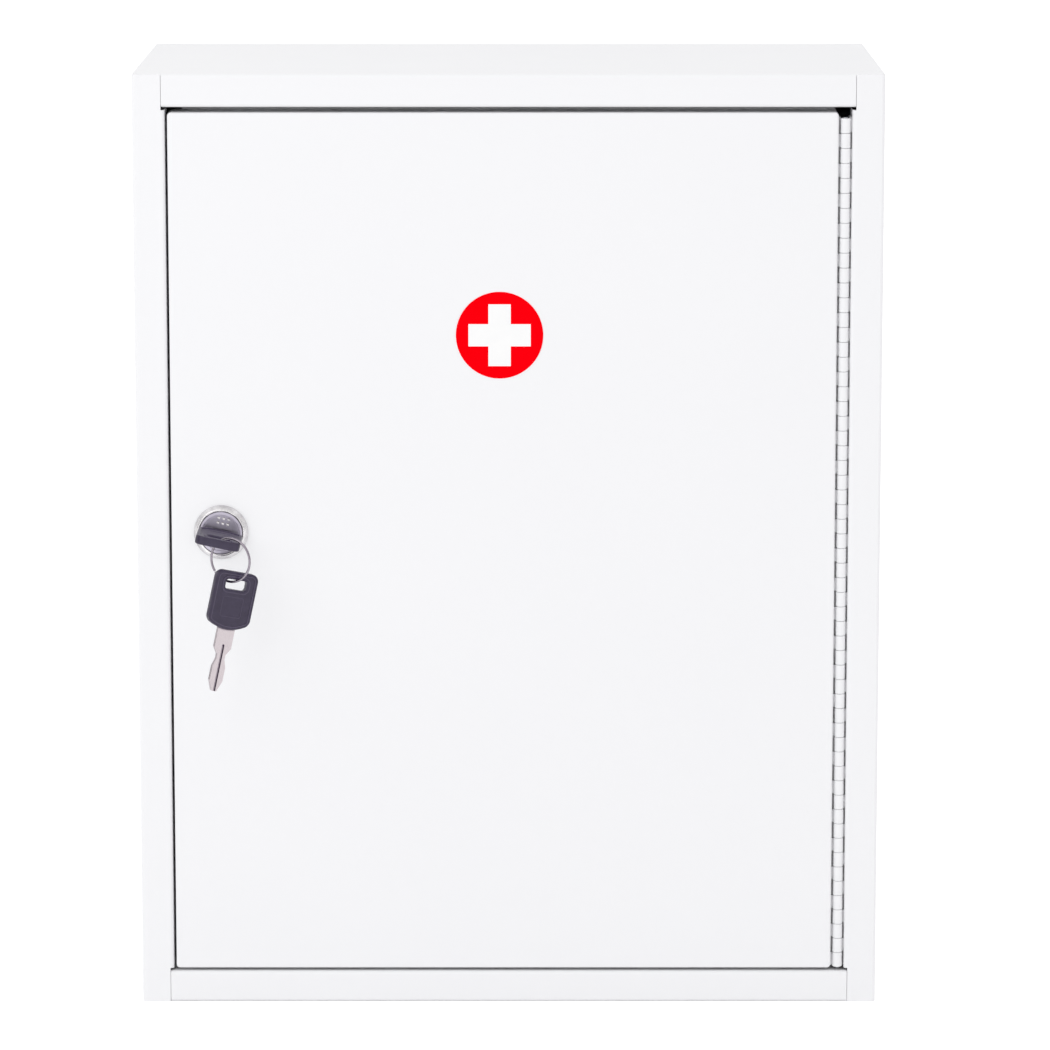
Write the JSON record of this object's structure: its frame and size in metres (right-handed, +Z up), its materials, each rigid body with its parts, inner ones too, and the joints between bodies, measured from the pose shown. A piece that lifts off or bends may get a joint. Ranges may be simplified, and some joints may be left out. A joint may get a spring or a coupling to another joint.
{
  "type": "lockable medicine cabinet",
  "caption": "Small white folded-steel wall cabinet with a hinged door, cam lock with its key in it, spare key on a ring and loose shelves inside.",
  "frame": {"origin": "middle of the cabinet's underside", "axes": "+Z up, front of the cabinet faces -Y, +X to the right as one looks at the door"},
  "size_m": [0.3, 0.1794, 0.38],
  "materials": {
    "white_powder_coat": "satin white powder coat on folded steel sheet",
    "red_film": "glossy red self-adhesive film",
    "white_film": "glossy white self-adhesive film",
    "zinc_steel": "bright zinc-plated steel",
    "nickel_zinc_casting": "die-cast zinc, bright nickel plate",
    "wafer_brass": "bare stamped brass",
    "spring_steel": "drawn spring wire",
    "key_steel": "stamped nickel-plated steel",
    "dark_key_plastic": "moulded dark violet plastic, fine texture",
    "ring_steel": "bright nickel-plated wire"
  },
  "bodies": {
    "case": {"left_side_panel": "white_powder_coat", "right_side_panel": "white_powder_coat", "top_panel": "white_powder_coat", "bottom_panel": "white_powder_coat", "back_panel": "white_powder_coat", "lower_shelf_ledges": "white_powder_coat", "upper_shelf_ledges": "white_powder_coat", "hinge_case_leaf": "white_powder_coat", "hinge_pin": "zinc_steel"},
    "door": {"door_panel": "white_powder_coat", "emblem_disc": "red_film", "emblem_cross": "white_film", "hinge_door_leaf": "white_powder_coat", "lock_body": "nickel_zinc_casting", "lock_washer": "zinc_steel", "lock_nut": "zinc_steel"},
    "plug": {"lock_plug": "nickel_zinc_casting", "lock_wafers": "wafer_brass", "wafer_springs": "spring_steel", "lock_cam": "zinc_steel", "cam_washer": "zinc_steel", "cam_screw": "zinc_steel"},
    "key": {"key_blade": "key_steel", "key_bow": "dark_key_plastic"},
    "ring": {"key_ring": "ring_steel"},
    "spare_key": {"spare_key_blade": "key_steel", "spare_key_bow": "dark_key_plastic"},
    "lower_shelf": {"lower_shelf": "white_powder_coat"},
    "upper_shelf": {"upper_shelf": "white_powder_coat"}
  },
  "joints": [
    {"name": "door_swing", "type": "hinge", "parent": "case", "child": "door", "pos_m": [0.1344, -0.0728, 0.19], "axis": [0, 0, 1], "range_deg": [0, 115]},
    {"name": "plug_turn", "type": "hinge", "parent": "door", "child": "plug", "pos_m": [-0.116, -0.075, 0.1954], "axis": [0, 1, 0], "range_deg": [0, 90]},
    {"name": "key_slide", "type": "slide", "parent": "plug", "child": "key", "axis": [0, -1, 0], "range_m": [0, 0.026]},
    {"name": "ring_hang", "type": "hinge", "parent": "key", "child": "ring", "pos_m": [-0.11225, -0.099, 0.19555], "axis": [0, 1, 0], "range_deg": [-95, 0]},
    {"name": "spare_swing", "type": "hinge", "parent": "ring", "child": "spare_key", "pos_m": [-0.111, -0.099, 0.17943], "axis": [0.891, -0.454, 0], "range_deg": [-20, 25]},
    {"name": "lower_shelf_lift", "type": "slide", "parent": "case", "child": "lower_shelf", "axis": [0, 0, 1], "range_m": [0, 0.012]},
    {"name": "upper_shelf_lift", "type": "slide", "parent": "case", "child": "upper_shelf", "axis": [0, 0, 1], "range_m": [0, 0.012]}
  ],
  "couplings": [
    {"joint": "ring_hang", "follows": "plug_turn", "ratio": -1}
  ]
}
